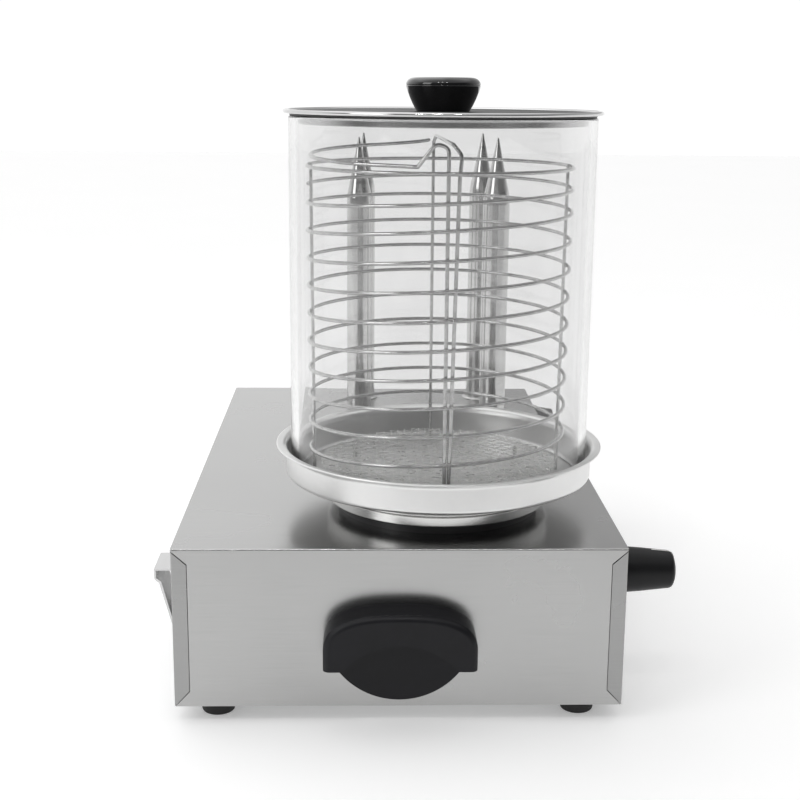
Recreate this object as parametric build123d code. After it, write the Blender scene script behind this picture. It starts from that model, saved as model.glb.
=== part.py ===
"""Hot-dog steamer and bun warmer: stainless box base, steamed glass cylinder, four heated bun spikes.

Frame: +X to the control side, +Y from the glass end to the spike end, +Z up, floor at z = 0.
The layout is drawn about the middle of the box; every node is moved by ORIGIN_X on export so
that the origin is the middle of the bounding box on the floor.
"""
import os
from math import asin, cos, pi, radians, sin

from build123d import *

# ---- driving dimensions, mm ----
BASE_W, BASE_D, BASE_H = 285.0, 460.0, 105.0      # stainless box
BASE_Z = 12.0                                     # box underside above the floor
DECK_Z = BASE_Z + BASE_H
SHEET = 1.2
FLANGE = 10.0                                     # side panel flanges lapped on the end faces
SEAM = 0.4
FOOT_X, FOOT_Y, FOOT_R = 117.0, 208.0, 12.0

AXIS_X, AXIS_Y = 28.0, -132.5                     # axis of pan, basket, glass and lid
PLATE_R, PLATE_Z, PAN_Z = 75.0, 123.5, 140.0      # hotplate disc, its underside, pan underside
PAN_R, PAN_LIP_R, PAN_LIP_Z, PAN_T = 103.2, 110.0, 162.0, 1.0
GLASS_R, GLASS_T, GLASS_TOP = 100.0, 5.0, 378.0
MESH_R, MESH_Z, MESH_PITCH, MESH_WIRE = 79.5, 149.0, 5.2, 0.36

BASKET_X, COIL_R, WIRE_R, RIB_R = -1.5, 85.2, 1.2, 83.0
FLARE, RING_Z = 1.6, 346.5                        # the basket is wider at its ring than at its foot
COIL_TOP, COIL_FIRST, COIL_PITCH, COIL_TURNS = 334.4, 11.5, 18.1, 10

DISC_Z, DISC_T, LID_R, SKIRT_R, SKIRT_Z = 379.8, 1.2, 103.5, 93.5, 373.0
KNOB_TOP, KNOB_R, KNOB_FOOT_R = 402.5, 24.3, 17.5

SPIKES = ((-33.0, 95.0), (90.0, 95.0), (-31.0, 195.0), (86.0, 195.0))   # on the far half of the deck
SPIKE_R, SPIKE_TIP, SPIKE_CONE = 12.0, 356.0, 48.0

DIAL_Y, DIAL_Z, DIAL_REACH = 198.0, 92.0, 37.0    # two control knobs on the +X side
ROCKER_Y, LAMP_Y = 92.0, 140.0
HANDLE_W, HANDLE_TOP, HANDLE_LOW, HANDLE_OUT = 96.0, 81.0, 44.6, 22.0
ARCH_W, ARCH_H = 36.0, 17.0                       # finger opening in the front of the hood
HANGER_Y, HANGER_L, HANGER_OUT, HANGER_Z = -206.0, 31.0, 14.0, 95.5

ORIGIN_X = -(DIAL_REACH - HANGER_OUT) / 2


def cyl(r, z0, z1, x=0.0, y=0.0):
    """Upright cylinder between two heights."""
    return Pos(x, y, z0) * Cylinder(r, z1 - z0, align=(Align.CENTER, Align.CENTER, Align.MIN))


def cyl_x(r, x0, x1, y, z):
    """Cylinder lying along +X from x0 to x1."""
    return Pos(x0, y, z) * Rot(0, 90, 0) * Cylinder(r, x1 - x0, align=(Align.CENTER, Align.CENTER, Align.MIN))


def cyl_y(r, y0, y1, x, z):
    """Cylinder lying along +Y from y0 to y1."""
    return Pos(x, y0, z) * Rot(-90, 0, 0) * Cylinder(r, y1 - y0, align=(Align.CENTER, Align.CENTER, Align.MIN))


def box(x0, x1, y0, y1, z0, z1):
    """Box between two corners."""
    return Pos((x0 + x1) / 2, (y0 + y1) / 2, (z0 + z1) / 2) * Box(x1 - x0, y1 - y0, z1 - z0)


def spun(points, x=0.0, y=0.0):
    """Solid of revolution about a vertical axis from (radius, z) points."""
    face = make_face(Polyline([(r, 0, z) for r, z in points], close=True).edges())
    return Pos(x, y, 0) * revolve(face, Axis.Z, 360)


def wire(points, r):
    """Round wire bent along a smooth curve through the points."""
    path = Spline(*points)
    return sweep(Plane(origin=path @ 0, z_dir=path % 0) * Circle(r), path=path, is_frenet=True)


def bent(points, r, bend):
    """Round wire along straight runs with rounded bends."""
    path = FilletPolyline(*points, radius=bend) if bend else Line(*points)
    return sweep(Plane(origin=path @ 0, z_dir=path % 0) * Circle(r), path=path)


def slab_y(outline, y0, y1):
    """Plate with an (x, z) outline, from y0 to y1."""
    face = make_face(Polyline([(x, y0, z) for x, z in outline], close=True).edges())
    return extrude(face, amount=y1 - y0, dir=(0, 1, 0))


parts = {}
HW, HD = BASE_W / 2, BASE_D / 2
WALL_TOP = DECK_Z - SHEET

# ---- base: one wrapped sheet makes deck and both end faces ----
wrap = box(-HW, HW, -HD, HD, WALL_TOP, DECK_Z)
mitred = [(-HW, WALL_TOP), (-HW + FLANGE, DECK_Z - FLANGE), (-HW + FLANGE, BASE_Z + FLANGE),
          (-HW + 0.6, BASE_Z), (HW - 0.6, BASE_Z), (HW - FLANGE, BASE_Z + FLANGE),
          (HW - FLANGE, DECK_Z - FLANGE), (HW, WALL_TOP)]
for s in (-1, 1):
    y0, y1 = sorted((s * HD, s * (HD - SHEET)))
    wrap += slab_y(mitred, y0, y1)
    l0, l1 = sorted((s * HD, s * (HD - 16)))
    wrap += box(-HW + 14, HW - 14, l0, l1, BASE_Z, BASE_Z + SHEET)
wrap = fillet([e for e in wrap.edges().filter_by(Axis.X)
               if abs(e.center().Z - DECK_Z) < 0.01 and abs(abs(e.center().Y) - HD) < 0.01], 1.1)
for x, y in SPIKES:
    wrap -= cyl(5.2, WALL_TOP - 1, DECK_Z + 1, x, y)
wrap -= cyl(20.0, WALL_TOP - 1, DECK_Z + 1, AXIS_X, AXIS_Y)
wrap -= cyl_y(7.1, HD - 3, HD + 3, 104.0, 38.0)
for s in (-1, 1):
    for x in (-34.0, 34.0):
        wrap -= cyl_y(2.1, s * HD - 3, s * HD + 3, x, 68.0)
parts["deck_shell"] = wrap

for name, s in (("side_panel_left", -1), ("side_panel_right", 1)):
    x0, x1 = sorted((s * HW, s * (HW - SHEET)))
    panel = box(x0, x1, -HD + SHEET, HD - SHEET, BASE_Z, WALL_TOP)
    inner = HW - FLANGE + SEAM
    lap = [(s * HW, WALL_TOP - 0.7), (s * inner, DECK_Z - FLANGE - 0.6), (s * inner, BASE_Z + FLANGE + 0.3),
           (s * (HW - 0.2), BASE_Z + 0.1), (s * HW, BASE_Z + 0.1)]
    for e in (-1, 1):
        y0, y1 = sorted((e * HD, e * (HD - SHEET)))
        panel += slab_y(lap, y0, y1)
    panel = fillet([e for e in panel.edges().filter_by(Axis.Z)
                    if abs(abs(e.center().X) - HW) < 0.01 and abs(abs(e.center().Y) - HD) < 0.01], 0.9)
    f0, f1 = sorted((s * HW, s * (HW - 12)))
    panel += box(f0, f1, -HD + 17, HD - 17, BASE_Z, BASE_Z + SHEET)
    parts[name] = panel

panel = parts["side_panel_right"]
for s in (-1, 1):
    panel -= cyl_x(5.0, HW - 3, HW + 3, s * DIAL_Y, DIAL_Z)
    panel -= box(HW - 3, HW + 3, s * ROCKER_Y - 10.1, s * ROCKER_Y + 10.1, DIAL_Z - 14.1, DIAL_Z + 14.1)
    panel -= cyl_x(5.1, HW - 3, HW + 3, s * LAMP_Y, DIAL_Z)
parts["side_panel_right"] = panel
panel = parts["side_panel_left"]
for i in range(9):
    panel -= box(-HW - 1, -HW + 3, 40 + 14 * i, 43 + 14 * i, 35, 75)
parts["side_panel_left"] = panel

floor = box(-HW + 1.4, HW - 1.4, -HD + 1.4, HD - 1.4, BASE_Z + SHEET, BASE_Z + 2 * SHEET)
for i in range(12):
    floor -= box(-40, 40, -66 + 12 * i, -61 + 12 * i, BASE_Z, BASE_Z + 4)
for x in (-FOOT_X, FOOT_X):
    for y in (-FOOT_Y, FOOT_Y):
        floor -= cyl(2.6, BASE_Z, BASE_Z + 4, x, y)
parts["bottom_plate"] = floor
for x in (-FOOT_X, FOOT_X):
    for y in (-FOOT_Y, FOOT_Y):
        for key in ("deck_shell", "side_panel_left", "side_panel_right"):
            if key == "deck_shell" or (x < 0) == (key == "side_panel_left"):
                parts[key] -= cyl(2.6, BASE_Z - 1, BASE_Z + SHEET + 0.01, x, y)

# ---- feet: tapered rubber with a recessed screw ----
foot_screws = []
for n, (x, y) in enumerate(((-FOOT_X, -FOOT_Y), (FOOT_X, -FOOT_Y), (-FOOT_X, FOOT_Y), (FOOT_X, FOOT_Y)), 1):
    foot = spun([(2.6, 5.0), (5.5, 5.0), (5.5, 0.0), (FOOT_R - 2.0, 0.0), (FOOT_R - 1.4, 0.8),
                 (FOOT_R, BASE_Z), (2.6, BASE_Z)], x, y)
    parts[f"foot_{n}"] = foot
    foot_screws.append(spun([(0, 2.2), (4.4, 2.2), (4.4, 4.0), (4.8, 5.0), (2.4, 5.0), (2.4, 20.0), (0, 20.0)], x, y))
parts["foot_screws"] = Compound(foot_screws)


# ---- end handles: black cup pull, open below, with a round-bottomed back plate ----
def cup_outline(inset):
    """Hood outline in x, z: flat-bottomed arch with full shoulders."""
    w, rise = HANDLE_W / 2 - inset, 25.0 - inset * 0.6
    pts = [(-w, HANDLE_LOW)]
    for i in range(25):
        a = pi * i / 24
        c, k = cos(a), sin(a)
        pts.append((-w * (abs(c) ** 0.78) * (1 if c > 0 else -1), HANDLE_TOP - inset - rise + rise * k ** 0.78))
    pts.append((w, HANDLE_LOW))
    return pts


def cup_handle(s):
    """Cup handle for the end face on side s of the box."""
    face_y = s * HD

    def span(a, b):
        return sorted((face_y + s * a, face_y + s * b))

    hood = slab_y(cup_outline(0.0), *span(0, HANDLE_OUT))
    front = [e for e in hood.edges() if abs(e.center().Y - (face_y + s * HANDLE_OUT)) < 0.01
             and e.center().Z > HANDLE_LOW + 1]
    hood = fillet(front, 4.0)
    hood -= slab_y(cup_outline(3.0), *span(2.6, HANDLE_OUT - 3.0))
    swing = (ARCH_W ** 2 + ARCH_H ** 2) / (2 * ARCH_H)
    reach = asin(ARCH_W / swing)
    arch = [(swing * sin(a), HANDLE_LOW + ARCH_H - swing + swing * cos(a))
            for a in [reach * (i - 12) / 12 for i in range(25)]]
    hood -= slab_y(arch + [(ARCH_W, 30), (-ARCH_W, 30)], *span(HANDLE_OUT - 8.0, HANDLE_OUT + 1.0))
    plate = [(HANDLE_W / 2 * sin(a), 65.0 - HANDLE_W / 2 * cos(a))
             for a in [radians(-84 + 8 * i) for i in range(22)]]
    hood += slab_y(plate, *span(0, 2.6))
    for x in (-34.0, 34.0):
        hood -= cyl_y(1.7, *span(-1, 2.6), x, 68.0)
    return hood


parts["handle_front"] = cup_handle(-1)
parts["handle_rear"] = cup_handle(1)
screws = []
for s in (-1, 1):
    for x in (-34.0, 34.0):
        y0, y1 = sorted((s * (HD - 4.4), s * (HD - SHEET)))
        screws.append(cyl_y(3.6, y0, y1, x, 68.0))
        y0, y1 = sorted((s * (HD - SHEET), s * (HD + 2.4)))
        screws.append(cyl_y(1.6, y0, y1, x, 68.0))
parts["handle_screws"] = Compound(screws)

# ---- bent sheet hanger on the left side ----
hx = -HW
profile = [(0, 0), (-HANGER_OUT, 0), (-HANGER_OUT, -7.0), (-HANGER_OUT + 3.0, -9.5), (-1.3, -46.0), (-1.3, -57.0), (0, -57.0),
           (0, -45.5), (-HANGER_OUT + 4.4, -8.8), (-HANGER_OUT + 1.2, -6.2), (-HANGER_OUT + 1.2, -1.2), (-1.2, -1.2),
           (-1.2, -11.0), (0, -11.0)]
hanger = slab_y([(hx + x, HANGER_Z + z) for x, z in profile], HANGER_Y, HANGER_Y + HANGER_L)
rivets = []
for y in (HANGER_Y + 7.5, HANGER_Y + HANGER_L - 7.5):
    hanger -= cyl_x(1.6, hx - 5, hx + 5, y, HANGER_Z - 52.0)
    parts["side_panel_left"] -= cyl_x(1.6, hx - 5, hx + 5, y, HANGER_Z - 52.0)
    pin = cyl_x(1.55, hx - 1.3, hx + 2.2, y, HANGER_Z - 52.0)
    rivets += [cyl_x(2.8, hx - 2.4, hx - 1.3, y, HANGER_Z - 52.0) + pin]
parts["side_hanger"] = hanger
parts["hanger_rivets"] = Compound(rivets)

# ---- hotplate under the pan ----
parts["hotplate_seat"] = spun([(20.0, WALL_TOP - 4), (24.0, WALL_TOP - 4), (24.0, WALL_TOP - 0.2), (19.9, WALL_TOP - 0.2),
                               (19.9, DECK_Z), (68.0, DECK_Z), (68.0, PLATE_Z), (16.0, PLATE_Z), (16.0, WALL_TOP - 4)],
                              AXIS_X, AXIS_Y)
parts["hotplate"] = spun([(0, PLATE_Z), (PLATE_R, PLATE_Z), (PLATE_R, PAN_Z - 1.5), (PLATE_R - 1.5, PAN_Z), (0, PAN_Z)],
                         AXIS_X, AXIS_Y)
parts["steam_element"] = spun([(0, PLATE_Z - 26), (14.0, PLATE_Z - 26), (14.0, PLATE_Z), (0, PLATE_Z)], AXIS_X, AXIS_Y)

# ---- bun spikes: hollow pointed bars, deck collar, nut below, rod heater inside ----
nuts, heaters = [], []
shoulder = SPIKE_TIP - SPIKE_CONE
for n, (x, y) in enumerate(SPIKES, 1):
    parts[f"spike_{n}"] = spun([(4.3, WALL_TOP - 8), (5.1, WALL_TOP - 8), (5.1, DECK_Z), (SPIKE_R - 0.6, DECK_Z),
                                (SPIKE_R, DECK_Z + 0.6), (SPIKE_R, shoulder - 5), (SPIKE_R - 0.3, shoulder),
                                (SPIKE_R - 1.2, shoulder + 5), (1.1, SPIKE_TIP - 2.6), (0.9, SPIKE_TIP - 1.0),
                                (0.5, SPIKE_TIP - 0.3), (0, SPIKE_TIP), (0, shoulder - 6), (4.3, shoulder - 10)], x, y)
    parts[f"spike_collar_{n}"] = spun([(SPIKE_R + 0.1, DECK_Z), (15.5, DECK_Z), (15.5, DECK_Z + 1.0),
                                       (14.2, DECK_Z + 2.2), (SPIKE_R + 0.1, DECK_Z + 2.2)], x, y)
    nut = Pos(x, y, WALL_TOP - 5.5) * extrude(RegularPolygon(9.0, 6), amount=5.5) - cyl(5.15, 100, 130, x, y)
    nuts.append(nut)
    heaters.append(cyl(4.1, WALL_TOP - 16, shoulder - 12, x, y))
parts["spike_nuts"] = Compound(nuts)
parts["spike_heaters"] = Compound(heaters)

# ---- controls on the right side ----
for s, tag in ((-1, "steam"), (1, "spikes")):
    y = s * DIAL_Y
    shaft = cyl_x(3.0, HW - 12, HW + 16, y, DIAL_Z) - box(HW + 6, HW + 17, y - 4, y + 4, DIAL_Z + 1.6, DIAL_Z + 4)
    body = box(HW - 44, HW - 5, y - 17, y + 17, DIAL_Z - 19, DIAL_Z + 17)
    body += cyl_x(4.8, HW - 6, HW - 0.4, y, DIAL_Z)
    parts[f"thermostat_{tag}"] = body - cyl_x(3.35, HW - 14, HW + 2, y, DIAL_Z)
    dial = cyl_x(20.5, HW, HW + 0.8, y, DIAL_Z) - cyl_x(4.9, HW - 1, HW + 2, y, DIAL_Z)
    parts[f"dial_plate_{tag}"] = dial
    grip = Pos(HW + 1.3, y, DIAL_Z) * Rot(0, 90, 0) * spun([
        (3.2, 0), (15.6, 0), (15.6, 1.2), (14.9, 2.0), (14.2, 12.0), (13.2, 22.0), (12.3, DIAL_REACH - 5.6),
        (11.5, DIAL_REACH - 3.9), (9.0, DIAL_REACH - 2.6), (5.5, DIAL_REACH - 1.7), (0, DIAL_REACH - 1.3),
        (0, 15.2), (3.2, 15.2)])
    grip -= Pos(HW + 1.3 + DIAL_REACH - 9, y, DIAL_Z + 12.4) * Box(14, 1.4, 2.2)
    parts[f"dial_knob_{tag}"] = grip + Pos(HW + 10.8, y, DIAL_Z + 2.5) * Box(8, 4.4, 1.4)
    parts[f"dial_shaft_{tag}"] = shaft
    ry = s * ROCKER_Y
    frame = box(HW, HW + 2.0, ry - 12, ry + 12, DIAL_Z - 16, DIAL_Z + 16)
    frame += box(HW - 22, HW, ry - 9.9, ry + 9.9, DIAL_Z - 13.9, DIAL_Z + 13.9)
    frame -= box(HW - 12, HW + 3, ry - 8.4, ry + 8.4, DIAL_Z - 12.6, DIAL_Z + 12.6)
    parts[f"rocker_frame_{tag}"] = frame
    key = Pos(0, ry, 0) * slab_y([(HW - 5.0, DIAL_Z - 9.0), (HW + 4.2, DIAL_Z - 10.4), (HW + 2.9, DIAL_Z),
                                  (HW + 0.6, DIAL_Z + 10.4), (HW - 5.0, DIAL_Z + 8.6), (HW - 7.5, DIAL_Z)], -8.0, 8.0)
    parts[f"rocker_{tag}"] = key
    ly = s * LAMP_Y
    lamp = cyl_x(6.6, HW, HW + 1.2, ly, DIAL_Z) + cyl_x(5.0, HW - 14, HW, ly, DIAL_Z)
    lamp += Pos(HW + 1.2, ly, DIAL_Z) * Rot(0, 90, 0) * spun([(0, 0), (4.8, 0), (4.4, 1.6), (3.0, 2.8), (0, 3.2)])
    parts[f"pilot_lamp_{tag}"] = lamp

# ---- wiring parts inside, cable gland on the rear face ----
parts["terminal_block"] = box(60, 100, 20, 38, BASE_Z + 2 * SHEET, BASE_Z + 20)
gland = cyl_y(12.0, HD, HD + 5.0, 104.0, 38.0) + cyl_y(8.6, HD + 5.0, HD + 14.0, 104.0, 38.0)
gland += cyl_y(7.0, HD - 10, HD, 104.0, 38.0)
parts["cable_gland"] = gland - cyl_y(4.0, HD - 12, HD + 16, 104.0, 38.0)

# ---- water pan with flared lip ----
parts["water_pan"] = spun([
    (0, PAN_Z), (PAN_R - 1.6, PAN_Z), (PAN_R, PAN_Z + 1.6), (PAN_R, PAN_LIP_Z - 4.6), (PAN_R + 1.2, PAN_LIP_Z - 2.4),
    (PAN_LIP_R - 1.0, PAN_LIP_Z - 1.6), (PAN_LIP_R, PAN_LIP_Z - 1.0), (PAN_LIP_R - 0.4, PAN_LIP_Z - 0.1),
    (PAN_R + 2.0, PAN_LIP_Z - 0.6), (PAN_R + 0.2, PAN_LIP_Z - 1.6), (PAN_R - PAN_T, PAN_LIP_Z - 4.0),
    (PAN_R - PAN_T, PAN_Z + 2.2), (PAN_R - 2.2, PAN_Z + PAN_T), (0, PAN_Z + PAN_T)], AXIS_X, AXIS_Y)

# ---- woven mesh plate, drawn as two crossed layers of wires, on three short legs ----
warp, weft = [], []
for i in range(-15, 16):
    off = i * MESH_PITCH
    half = (MESH_R ** 2 - off ** 2) ** 0.5
    warp.append(cyl_x(MESH_WIRE, AXIS_X - half, AXIS_X + half, AXIS_Y + off, MESH_Z))
    weft.append(cyl_y(MESH_WIRE, AXIS_Y - half, AXIS_Y + half, AXIS_X + off, MESH_Z + 0.64))
parts["mesh_warp"] = Compound(warp)
parts["mesh_weft"] = Compound(weft)
legs = []
for a in (30, 150, 270):
    c, k = cos(radians(a)), sin(radians(a))
    legs.append(cyl(1.5, PAN_Z + PAN_T, MESH_Z - 0.3, AXIS_X + 66 * c, AXIS_Y + 66 * k))
parts["mesh_legs"] = Compound(legs)

# ---- wire basket: coil, top ring, ribs, front post, bail across the top ----
bx, by = AXIS_X + BASKET_X, AXIS_Y


def around(deg, r, z):
    """Point at an angle about the basket axis, 0 toward +X."""
    return (bx + r * cos(radians(deg)), by + r * sin(radians(deg)), z)


FLOOR = PAN_Z + PAN_T


def coil_point(i):
    """Point on the coil after i sixteenths of a turn; the first turn is flatter than the rest."""
    u = i / 16
    fall = COIL_FIRST * min(u, 1.0) + COIL_PITCH * max(u - 1.0, 0.0)
    z = COIL_TOP - fall + 0.5 * (1 - cos(4 * pi * u)) + 2.2 * (1 - cos(2 * pi * u))
    return around(180 - 22.5 * i, COIL_R + FLARE * (z - FLOOR) / (RING_Z - FLOOR), z)


def arc_wire(a, b, c):
    """Round wire along the arc through three points."""
    path = ThreePointArc(a, b, c)
    return sweep(Plane(origin=path @ 0, z_dir=path % 0) * Circle(WIRE_R), path=path)


parts["basket_coil"] = Compound([arc_wire(*[coil_point(i + k) for k in range(3)])
                                 for i in range(0, 16 * COIL_TURNS, 2)])
RIM_R = RIB_R + FLARE
parts["basket_ring"] = Pos(bx, by, RING_Z) * Torus(COIL_R + FLARE, WIRE_R)
parts["basket_ribs"] = Compound([bent([around(deg, RIB_R, FLOOR + 0.1), around(deg, RIM_R, top)], WIRE_R, 0)
                                 for deg, top in ((180, RING_Z), (0, RING_Z), (90, 358.0))])
post = bent([(bx + 0.6, by - RIB_R, FLOOR), (bx + 0.6, by - RIB_R, 361.5), (bx - 7.0, by - RIB_R, 364.0),
             (bx - 17.5, by - RIB_R + 1.0, 350.2)], WIRE_R, 3.0)
parts["basket_post"] = post
hoop = wire([(bx - 17.5, by - RIB_R + 1.0, 350.2)] + [around(-110 - 20 * i, RIM_R, 350.0 + 1.0 * i) for i in range(1, 8)]
            + [around(97, RIM_R, 358.4), (bx - 3.5, by + RIM_R, 359.4)], WIRE_R)
parts["basket_hoop"] = hoop
bail = bent([(bx + 3.2, by - RIB_R, FLOOR + 0.4), (bx + 7.2, by - RIB_R + 0.3, 344.0), (bx + 8.4, by - RIB_R + 0.3, 357.0),
             (bx + 3.4, by - RIB_R + 3.0, 363.3), (bx + 1.6, by + RIM_R - 1.0, 362.6), (bx, by + RIM_R, 357.4)],
            WIRE_R, 2.6)
parts["basket_bail"] = bail

# ---- glass cylinder and lid ----
edge = 1.0
parts["glass_cylinder"] = spun([
    (GLASS_R - GLASS_T + edge, FLOOR), (GLASS_R - edge, FLOOR), (GLASS_R, FLOOR + edge), (GLASS_R, GLASS_TOP - edge),
    (GLASS_R - edge, GLASS_TOP), (GLASS_R - GLASS_T + edge, GLASS_TOP), (GLASS_R - GLASS_T, GLASS_TOP - edge),
    (GLASS_R - GLASS_T, FLOOR + edge)], AXIS_X, AXIS_Y)
parts["lid_gasket"] = spun([(SKIRT_R + 0.6, GLASS_TOP), (99.0, GLASS_TOP), (99.4, DISC_Z), (SKIRT_R + 0.6, DISC_Z)],
                           AXIS_X, AXIS_Y)
parts["lid_disc"] = spun([
    (0, DISC_Z), (SKIRT_R - 1.0, DISC_Z), (SKIRT_R - 1.0, SKIRT_Z), (SKIRT_R, SKIRT_Z), (SKIRT_R, DISC_Z),
    (LID_R - 2.6, DISC_Z), (LID_R - 1.2, DISC_Z - 0.5), (LID_R - 0.3, DISC_Z - 0.1), (LID_R, DISC_Z + 0.9),
    (LID_R - 0.4, DISC_Z + 1.9), (LID_R - 1.4, DISC_Z + 2.4), (LID_R - 2.6, DISC_Z + 2.0), (LID_R - 3.4, DISC_Z + DISC_T),
    (0, DISC_Z + DISC_T)], AXIS_X, AXIS_Y) - cyl(2.6, DISC_Z - 1, DISC_Z + 3, AXIS_X, AXIS_Y)
top = DISC_Z + DISC_T
parts["lid_knob"] = spun([
    (0, top + 12), (2.0, top + 12), (2.0, top), (KNOB_FOOT_R - 0.5, top), (KNOB_FOOT_R, top + 0.6), (19.4, top + 4.0),
    (21.6, top + 8.6), (23.2, top + 12.6), (KNOB_R, top + 16.4), (KNOB_R - 0.2, top + 17.8), (KNOB_R - 1.2, top + 19.4),
    (KNOB_R - 2.8, top + 20.6), (KNOB_R - 4.4, KNOB_TOP - 0.2), (KNOB_R - 7.0, KNOB_TOP), (0, KNOB_TOP)], AXIS_X, AXIS_Y)
parts["lid_screw"] = spun([(0, DISC_Z - 3.4), (4.4, DISC_Z - 3.4), (5.4, DISC_Z - 1.6), (5.4, DISC_Z), (1.9, DISC_Z),
                           (1.9, top + 11.5), (0, top + 11.5)], AXIS_X, AXIS_Y)

os.makedirs("parts", exist_ok=True)
for name, shape in parts.items():
    export_step(Pos(ORIGIN_X, 0, 0) * shape, f"parts/{name}.step")
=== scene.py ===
"""Looks for the hot-dog steamer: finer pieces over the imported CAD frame, finishes, lights, camera.

Lengths in the shape functions are in millimetres and are turned into metres when a mesh is made.
"""
import random
from math import asin, ceil, cos, hypot, pi, radians, sin

import bmesh
import bpy
from mathutils import Matrix, Vector

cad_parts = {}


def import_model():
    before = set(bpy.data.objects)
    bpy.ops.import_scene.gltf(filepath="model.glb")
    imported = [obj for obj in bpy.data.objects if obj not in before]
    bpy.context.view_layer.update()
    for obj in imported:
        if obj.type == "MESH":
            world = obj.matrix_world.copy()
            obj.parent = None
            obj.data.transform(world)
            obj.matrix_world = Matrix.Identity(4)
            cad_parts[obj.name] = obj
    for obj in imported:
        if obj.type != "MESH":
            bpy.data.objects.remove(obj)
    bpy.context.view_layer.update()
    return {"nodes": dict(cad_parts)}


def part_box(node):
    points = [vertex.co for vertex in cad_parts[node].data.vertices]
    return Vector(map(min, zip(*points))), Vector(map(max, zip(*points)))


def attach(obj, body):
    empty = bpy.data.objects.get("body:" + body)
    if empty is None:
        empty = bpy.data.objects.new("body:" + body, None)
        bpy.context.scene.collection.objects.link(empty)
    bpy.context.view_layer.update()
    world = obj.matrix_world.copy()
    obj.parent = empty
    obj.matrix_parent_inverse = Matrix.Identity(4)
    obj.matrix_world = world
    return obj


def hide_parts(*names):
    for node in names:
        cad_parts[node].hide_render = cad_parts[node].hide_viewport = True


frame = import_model()
MM = 0.001
DECK_TOP = 117.0            # height of the box's top sheet, mm
SEED = 7
rng = random.Random(SEED)
scene = bpy.context.scene


def mid(node):
    """Middle of a CAD node's box, in mm."""
    low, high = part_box(node)
    return (low + high) / 2 / MM


def low_high(node):
    """Lowest and highest corner of a CAD node, in mm."""
    low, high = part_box(node)
    return low / MM, high / MM


# ------------------------------------------------------------------ materials
class Finish:
    """One procedural material: a Principled shader with node helpers."""

    def __init__(self, name, colour, metal=0.0, rough=0.4, **sockets):
        self.m = bpy.data.materials.new(name)
        self.m.use_nodes = True
        self.t = self.m.node_tree
        self.t.nodes.clear()
        out = self.t.nodes.new("ShaderNodeOutputMaterial")
        self.s = self.t.nodes.new("ShaderNodeBsdfPrincipled")
        self.t.links.new(self.s.outputs[0], out.inputs[0])
        self.colour, self.rough = colour, rough
        self.s.inputs["Base Color"].default_value = (*colour, 1)
        self.s.inputs["Metallic"].default_value = metal
        self.s.inputs["Roughness"].default_value = rough
        for key, value in sockets.items():
            self.s.inputs[key.replace("_", " ")].default_value = value
        self.last_bump = None

    def node(self, kind, **props):
        made = self.t.nodes.new(kind)
        for key, value in props.items():
            setattr(made, key, value)
        return made

    def link(self, a, b):
        self.t.links.new(a, b)

    def place(self, scale, turned=None):
        """Object coordinates scaled per axis, or (radius, height) about an upright axis for turned parts."""
        co = self.node("ShaderNodeTexCoord").outputs["Object"]
        if turned is not None:
            move = self.node("ShaderNodeMapping")
            move.inputs["Location"].default_value = [-v * MM for v in turned]
            self.link(co, move.inputs["Vector"])
            flat = self.node("ShaderNodeMapping", vector_type="POINT")
            flat.inputs["Scale"].default_value = (1, 1, 0)
            self.link(move.outputs[0], flat.inputs["Vector"])
            size = self.node("ShaderNodeVectorMath", operation="LENGTH")
            self.link(flat.outputs[0], size.inputs[0])
            parts = self.node("ShaderNodeSeparateXYZ")
            self.link(move.outputs[0], parts.inputs[0])
            join = self.node("ShaderNodeCombineXYZ")
            self.link(size.outputs["Value"], join.inputs[0])
            self.link(parts.outputs["Z"], join.inputs[1])
            co = join.outputs[0]
        mapping = self.node("ShaderNodeMapping")
        mapping.inputs["Scale"].default_value = scale
        self.link(co, mapping.inputs["Vector"])
        return mapping.outputs[0]

    def noise(self, where, scale=1.0, detail=3.0, rough=0.6):
        n = self.node("ShaderNodeTexNoise")
        n.inputs["Scale"].default_value = scale
        n.inputs["Detail"].default_value = detail
        n.inputs["Roughness"].default_value = rough
        self.link(where, n.inputs["Vector"])
        return n.outputs["Fac"]

    def spread(self, fac, low, high, a=0.3, b=0.7):
        r = self.node("ShaderNodeMapRange")
        for key, value in (("From Min", a), ("From Max", b), ("To Min", low), ("To Max", high)):
            r.inputs[key].default_value = value
        self.link(fac, r.inputs["Value"])
        return r.outputs["Result"]

    def tone(self, fac, dark=0.85, light=1.1, a=0.3, b=0.7):
        """Base colour between a darker and a lighter tone of the same colour."""
        ramp = self.node("ShaderNodeValToRGB")
        first, last = ramp.color_ramp.elements
        for stop, at, gain in ((first, a, dark), (last, b, light)):
            stop.position = at
            stop.color = (*[min(1.0, c * gain) for c in self.colour], 1)
        self.link(fac, ramp.inputs[0])
        self.link(ramp.outputs[0], self.s.inputs["Base Color"])
        return self

    def gloss(self, fac, swing, a=0.3, b=0.7):
        """Roughness that varies about its mean."""
        varied = self.spread(fac, self.rough - swing, self.rough + swing, a, b)
        self.link(varied, self.s.inputs["Roughness"])
        return self

    def bump(self, fac, depth, strength=1.0):
        b = self.node("ShaderNodeBump")
        b.inputs["Distance"].default_value = depth * MM
        b.inputs["Strength"].default_value = strength
        self.link(fac, b.inputs["Height"])
        if self.last_bump is not None:
            self.link(self.last_bump, b.inputs["Normal"])
        self.last_bump = b.outputs[0]
        self.link(self.last_bump, self.s.inputs["Normal"])
        return self


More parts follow.
